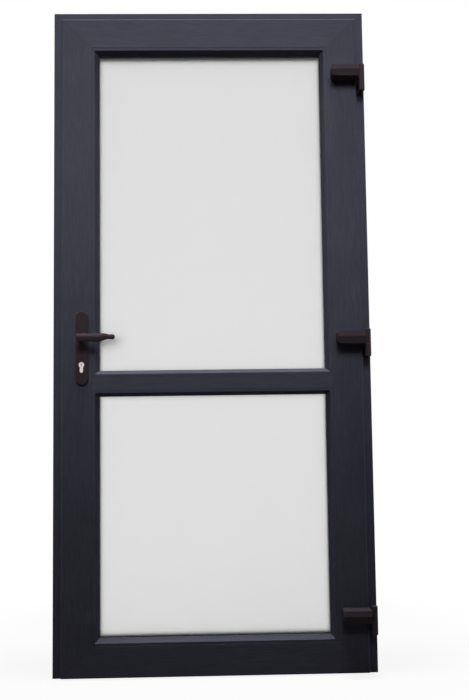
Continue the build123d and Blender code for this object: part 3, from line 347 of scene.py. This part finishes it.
def satin_nickel(finishes):
    """Satin nickel on brass: a warm white metal, finely brushed, that shows soft bright reflections."""
    material, tree, shader, place = start_material("satin_nickel_on_brass", {"Metallic": 1.0})
    stretch = (1 / (12 * MM), 1 / (12 * MM), 1 / (0.5 * MM))
    brushed_place = add_node(tree, "ShaderNodeMapping", {"Vector": place, "Scale": stretch})
    brushed = add_node(tree, "ShaderNodeTexNoise", {"Vector": brushed_place, "Scale": 1.0, "Detail": 3.0})
    colours = {6: tuple(finishes.nickel), 7: toned(finishes.nickel, 0.85)}
    colour = add_node(tree, "ShaderNodeMix", {0: brushed, **colours}, 2, data_type="RGBA")
    rough = add_node(tree, "ShaderNodeMapRange", {"Value": brushed, "To Min": 0.2, "To Max": 0.34})
    bump = add_node(tree, "ShaderNodeBump", {"Height": brushed, "Strength": 0.05, "Distance": 0.05 * MM})
    fill(tree, shader, {"Base Color": colour, "Roughness": rough, "Normal": bump})
    return material


def acetal(finishes):
    """Moulded acetal: creamy white and slightly waxy."""
    material, tree, shader, place = start_material("moulded_acetal", {"IOR": 1.48})
    flow = add_node(tree, "ShaderNodeTexNoise", {"Vector": place, "Scale": 1 / (6 * MM), "Detail": 3.0})
    colours = {6: tuple(finishes.acetal), 7: toned(finishes.acetal, 0.9)}
    colour = add_node(tree, "ShaderNodeMix", {0: flow, **colours}, 2, data_type="RGBA")
    rough = add_node(tree, "ShaderNodeMapRange", {"Value": flow, "To Min": 0.3, "To Max": 0.42})
    fill(tree, shader, {"Base Color": colour, "Roughness": rough})
    return material


def etched_glass(finishes, name, satin):
    """Acid-etched float glass: a satin skin that lets the light through and blurs what is behind to an even
    pale grey. The etch is some hundredths of a millimetre, drawn as a faint cloud to show."""
    material, tree, shader, place = start_material(name, {"IOR": 1.52, "Transmission Weight": 1.0})
    etch = add_node(tree, "ShaderNodeTexNoise", {"Vector": place, "Scale": 1 / (40 * MM), "Detail": 5.0})
    colours = {6: tuple(finishes.glass), 7: toned(finishes.glass, 0.985)}
    colour = add_node(tree, "ShaderNodeMix", {0: etch, **colours}, 2, data_type="RGBA")
    depth = {"To Min": 0.9 * satin, "To Max": 1.1 * satin}
    rough = add_node(tree, "ShaderNodeMapRange", {"Value": etch, **depth})
    fill(tree, shader, {"Base Color": colour, "Roughness": rough})
    return material


def wear(nodes, material):
    """Give CAD nodes one material."""
    for name in nodes:
        mesh = frame["nodes"][name].data
        mesh.materials.clear()
        mesh.materials.append(material)


def nodes_in(slot):
    """CAD nodes that take their finish from a slot."""
    return [name for name, taken in SLOT_OF.items() if taken == slot]


def material_of(slot):
    """Material that the CAD nodes of a slot wear."""
    return frame["nodes"][nodes_in(slot)[0]].data.materials[0]


def pick(kind, wanted):
    """Select only those faces or edges of the edited mesh that are wanted."""
    bpy.ops.mesh.select_mode(type=kind)
    bpy.ops.mesh.select_all(action="DESELECT")
    mesh = bpy.context.edit_object.data
    edited = bmesh.from_edit_mesh(mesh)
    for found in edited.faces if kind == "FACE" else edited.edges:
        if wanted(found):
            found.select_set(True)
    bmesh.update_edit_mesh(mesh)


def model_head(fittings, radius, planes, in_recess):
    """A low round head that faces up at the origin, with a recess in its top cut along planes."""
    height = fittings.head_height
    edge_round = EDGE_ROUND_SHARE * height
    recess_radius = RECESS_SHARE * radius

    def in_top(face):
        return face.normal.z > FACES_UP and face.calc_center_median().length < recess_radius

    bpy.ops.object.select_all(action="DESELECT")
    sunk = (0, 0, -height / 2)
    bpy.ops.mesh.primitive_cylinder_add(vertices=HEAD_SIDES, radius=radius, depth=height, location=sunk)
    bpy.ops.object.transform_apply(location=True, rotation=False, scale=False)
    bpy.ops.object.mode_set(mode="EDIT")
    pick("EDGE", lambda edge: all(vertex.co.z > -height / 2 for vertex in edge.verts))
    bpy.ops.mesh.bevel(offset=edge_round, segments=3, profile=0.5)
    pick("FACE", lambda face: face.normal.z > FACES_UP)
    bpy.ops.mesh.inset(thickness=radius - edge_round - recess_radius)
    for point, normal in planes:
        pick("FACE", in_top)
        bpy.ops.mesh.bisect(plane_co=point, plane_no=normal)
    pick("FACE", lambda face: in_top(face) and in_recess(face.calc_center_median()))
    bpy.ops.mesh.extrude_region_move(TRANSFORM_OT_translate={"value": (0, 0, -fittings.recess_depth)})
    bpy.ops.mesh.select_all(action="SELECT")
    bpy.ops.mesh.normals_make_consistent(inside=False)
    bpy.ops.object.mode_set(mode="OBJECT")
    bpy.ops.object.shade_smooth_by_angle(angle=SMOOTH_ANGLE)
    return bpy.context.object


def cross_head(fittings, radius):
    """A head with a cross recess."""
    half = CROSS_ARM_SHARE * radius
    axes = (Vector((1, 0, 0)), Vector((0, 1, 0)))
    planes = [(side * half * axis, axis) for axis in axes for side in (-1, 1)]
    return model_head(fittings, radius, planes, lambda centre: min(abs(centre.x), abs(centre.y)) < half)


def socket_head(fittings, radius):
    """A head with a hexagon socket."""
    reach = SOCKET_SHARE * radius
    axes = [Vector((math.cos(turn), math.sin(turn), 0)) for turn in (k * math.pi / 3 for k in range(6))]
    planes = [(reach * axis, axis) for axis in axes]
    return model_head(fittings, radius, planes, lambda centre: all(centre.dot(axis) < reach for axis in axes))


def put_heads(fittings, head, group, places, facing, body, slot):
    """Copy a head to each place, facing one way, each turned as it was last tightened."""
    facing = Vector(facing)
    upright = facing.to_track_quat("Z", "Y").to_matrix().to_4x4()
    for number, place in enumerate(places, 1):
        piece = bpy.data.objects.new(f"{group}_{number}", head.data.copy())
        bpy.context.collection.objects.link(piece)
        seat = Matrix.Translation(Vector(place) + fittings.head_proud * facing)
        turn = Matrix.Rotation(TURN_STEP * number, 4, "Z")
        piece.data.transform(seat @ upright @ turn)
        piece.data.materials.clear()
        piece.data.materials.append(material_of(slot))
        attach(piece, body)


def add_lamp(name, place, target, size, power, spread):
    """A rectangular lamp that faces a target and sends its light within a spread in degrees."""
    bpy.ops.object.light_add(type="AREA", location=place)
    lamp = bpy.context.object
    lamp.name = name
    lamp.data.shape = "RECTANGLE"
    lamp.data.size, lamp.data.size_y = size
    lamp.data.energy = power
    lamp.data.spread = math.radians(spread)
    lamp.visible_glossy = False
    lamp.visible_transmission = False
    lamp.rotation_euler = (Vector(target) - lamp.location).to_track_quat("-Z", "Y").to_euler()


def seen_directly(tree):
    """1 where a surface is seen by the camera, in a reflection or through glass, 0 where it lights others."""
    path = add_node(tree, "ShaderNodeLightPath").node.outputs
    seen = path["Is Camera Ray"]
    for ray in ("Is Glossy Ray", "Is Transmission Ray"):
        seen = add_node(tree, "ShaderNodeMath", {0: seen, 1: path[ray]}, operation="MAXIMUM")
    # A ray that a dull surface sent on through the glass only lights that surface
    straight = add_node(tree, "ShaderNodeMath", {0: path["Diffuse Depth"], 1: 0.5}, operation="LESS_THAN")
    return add_node(tree, "ShaderNodeMath", {0: seen, 1: straight}, operation="MULTIPLY")


def white_floor():
    """Painted studio floor: white in sight, dark where it only throws light back, with the door's shadow. It
    is a little greyer within half a metre of the door and white from two metres on."""
    constants = {"Base Color": FLOOR_GREY, "Roughness": 0.9, "Specular IOR Level": 0.0}
    material, tree, shader, place = start_material("white_studio_floor", constants)
    away = add_node(tree, "ShaderNodeVectorMath", {0: place}, "Value", operation="LENGTH")
    near = {"From Min": 0.5, "From Max": 2.0, "To Min": 0.88, "To Max": 1.0}
    level = add_node(tree, "ShaderNodeMapRange", {"Value": away, **near}, interpolation_type="SMOOTHSTEP")
    glow = add_node(tree, "ShaderNodeMath", {0: seen_directly(tree), 1: level}, operation="MULTIPLY")
    fill(tree, shader, {"Emission Color": WHITE, "Emission Strength": glow})
    return material


def light_world(scene, level):
    """Even light from all round, white where it is seen directly, in reflections or through glass."""
    world = bpy.data.worlds.new("white_studio")
    world.use_nodes = True
    scene.world = world
    tree = world.node_tree
    ends = {"To Min": level, "To Max": 1.0}
    strength = add_node(tree, "ShaderNodeMapRange", {"Value": seen_directly(tree), **ends})
    fill(tree, tree.nodes["Background"], {"Color": WHITE, "Strength": strength})


class DOOR_OT_profiles(bpy.types.Operator):
    """Foil on the frame, leaf and beads, with grain along each profile"""

    bl_idname = "door.profiles"
    bl_label = "Finish Profiles"

    def execute(self, context):
        finishes = context.scene.door_finishes
        uprights, levels = [], []
        for name in nodes_in("laminated_pvc"):
            low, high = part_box(name)
            (levels if high.x - low.x > high.z - low.z else uprights).append(name)
        wear(uprights, foil_on_pvc(finishes, False))
        wear(levels, foil_on_pvc(finishes, True))
        wear(nodes_in("plain_pvc"), plain_pvc(finishes))
        return {"FINISHED"}


class DOOR_OT_glazing(bpy.types.Operator):
    """Glass, seals, spacers and threshold cover"""

    bl_idname = "door.glazing"
    bl_label = "Finish Glazing"

    def execute(self, context):
        finishes = context.scene.door_finishes
        outer = [name for name in nodes_in("satin_glass") if name.endswith("outside")]
        inner = [name for name in nodes_in("satin_glass") if name.endswith("inside")]
        wear(outer, etched_glass(finishes, "deep_etched_float_glass", finishes.outer_satin))
        wear(inner, etched_glass(finishes, "light_etched_float_glass", finishes.inner_satin))
        wear(nodes_in("seal_rubber"), seal_rubber(finishes))
        wear(["threshold_cover"], anodised_aluminium("natural_anodised_aluminium", finishes.aluminium))
        wear(["spacers"], anodised_aluminium("black_anodised_aluminium", finishes.spacer))
        return {"FINISHED"}


class DOOR_OT_hardware(bpy.types.Operator):
    """Handles, hinges, lock and steel"""

    bl_idname = "door.hardware"
    bl_label = "Finish Hardware"

    def execute(self, context):
        finishes = context.scene.door_finishes
        wear(nodes_in("coated_metal"), powder_coat(finishes))
        wear(nodes_in("hinge_cap_plastic"), hinge_plastic(finishes))
        wear(nodes_in("zinc_steel"), zinc_plate(finishes))
        wear(nodes_in("nickel"), satin_nickel(finishes))
        wear(nodes_in("bush_plastic"), acetal(finishes))
        return {"FINISHED"}


class DOOR_OT_screws(bpy.types.Operator):
    """Cross-headed screws of the faceplate, strikes, threshold and handle"""

    bl_idname = "door.screws"
    bl_label = "Add Screws"

    def execute(self, context):
        fittings = context.scene.door_fittings
        head = cross_head(fittings, fittings.screw_radius)
        low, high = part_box("lock_rail")
        middle = (low.y + high.y) / 2
        places = [(low.x, middle, height) for height in FACEPLATE_SCREW_HEIGHTS]
        put_heads(fittings, head, "faceplate_screw", places, (-1, 0, 0), "leaf", "zinc_steel")
        places = []
        end = fittings.strike_end
        for node, length in (("strike_main", None), ("strike_keeps", KEEP_LENGTH)):
            low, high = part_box(node)
            heights = [low.z + end, high.z - end]
            if length:
                heights += [low.z + length - end, high.z - length + end]
            places += [(high.x, (low.y + high.y) / 2, height) for height in heights]
        put_heads(fittings, head, "strike_screw", places, (1, 0, 0), "frame", "zinc_steel")
        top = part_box("threshold_cover")[1].z
        places = [(x, THRESHOLD_SCREW_DEPTH, top) for x in THRESHOLD_SCREW_PLACES]
        put_heads(fittings, head, "threshold_screw", places, (0, 0, 1), "frame", "zinc_steel")
        bpy.data.objects.remove(head)
        head = cross_head(fittings, fittings.bolt_radius)
        low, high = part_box("handle_bolts")
        inset = (high.x - low.x) / 2
        places = [(low.x + inset, low.y, height) for height in (low.z + inset, high.z - inset)]
        put_heads(fittings, head, "handle_bolt_head", places, (0, -1, 0), "leaf", "coated_metal")
        bpy.data.objects.remove(head)
        return {"FINISHED"}


class DOOR_OT_sockets(bpy.types.Operator):
    """Socket caps in the hinge knuckles and grub screws under the levers' necks"""

    bl_idname = "door.sockets"
    bl_label = "Add Socket Screws"

    def execute(self, context):
        fittings = context.scene.door_fittings
        head = socket_head(fittings, fittings.cap_radius)
        low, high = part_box("hinge_pins")
        axis = ((low.x + high.x) / 2, (low.y + high.y) / 2)
        tops = [(*axis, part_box(f"hinge_leaf_part_{name}")[1].z) for name in HINGES]
        put_heads(fittings, head, "hinge_top_cap", tops, (0, 0, 1), "leaf", "coated_metal")
        ends = [(*axis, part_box(f"hinge_frame_part_{name}")[0].z) for name in HINGES]
        put_heads(fittings, head, "hinge_end_cap", ends, (0, 0, -1), "frame", "coated_metal")
        bpy.data.objects.remove(head)
        head = socket_head(fittings, fittings.grub_radius)
        low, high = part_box("spindle")
        axis_x, axis_z = (low.x + high.x) / 2, (low.z + high.z) / 2
        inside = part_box("handle_plate_inside")[0].y - fittings.grub_reach
        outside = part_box("handle_plate_outside")[1].y + fittings.grub_reach
        places = [(axis_x, depth, axis_z - fittings.grub_drop) for depth in (inside, outside)]
        put_heads(fittings, head, "lever_grub_screw", places, (0, 0, -1), "levers", "coated_metal")
        bpy.data.objects.remove(head)
        return {"FINISHED"}


class DOOR_OT_studio(bpy.types.Operator):
    """Floor, white background, lamps and camera"""

    bl_idname = "door.studio"
    bl_label = "Set Up Studio"

    def execute(self, context):
        studio = context.scene.door_studio
        bpy.ops.object.select_all(action="DESELECT")
        bpy.ops.mesh.primitive_plane_add(size=FLOOR_SIZE, location=(0, 0, 0))
        floor = context.object
        floor.name = "floor"
        floor.data.materials.append(white_floor())
        light_world(context.scene, studio.fill_level)
        for name, (place, target, size, power, spread) in LAMPS.items():
            add_lamp(name, place, target, size, getattr(studio, power), spread)
        bpy.ops.object.camera_add(location=studio.camera_place, rotation=studio.camera_turn)
        camera = context.object
        camera.data.lens = studio.camera_lens
        camera.data.sensor_width = SENSOR_WIDTH
        context.scene.camera = camera
        context.scene.view_settings.view_transform = "Standard"
        return {"FINISHED"}


class DOOR_PT_sidebar(bpy.types.Panel):
    """Door tools in the sidebar"""

    bl_label = "Entrance Door"
    bl_idname = "DOOR_PT_sidebar"
    bl_space_type = "VIEW_3D"
    bl_region_type = "UI"
    bl_category = "Door"

    def draw(self, context):
        for operator in OPERATORS:
            self.layout.operator(operator.bl_idname)


GROUPS = {"door_finishes": DoorFinishes, "door_fittings": DoorFittings, "door_studio": DoorStudio}
OPERATORS = (
    DOOR_OT_profiles,
    DOOR_OT_glazing,
    DOOR_OT_hardware,
    DOOR_OT_screws,
    DOOR_OT_sockets,
    DOOR_OT_studio,
)


def register():
    for made in (*GROUPS.values(), *OPERATORS, DOOR_PT_sidebar):
        bpy.utils.register_class(made)
    for name, group in GROUPS.items():
        setattr(bpy.types.Scene, name, bpy.props.PointerProperty(type=group))


def unregister():
    for name in GROUPS:
        delattr(bpy.types.Scene, name)
    for made in reversed((*GROUPS.values(), *OPERATORS, DOOR_PT_sidebar)):
        bpy.utils.unregister_class(made)


def main():
    register()
    bpy.ops.door.profiles()
    bpy.ops.door.glazing()
    bpy.ops.door.hardware()
    bpy.ops.door.screws()
    bpy.ops.door.sockets()
    bpy.ops.door.studio()


if __name__ == "__main__":
    main()
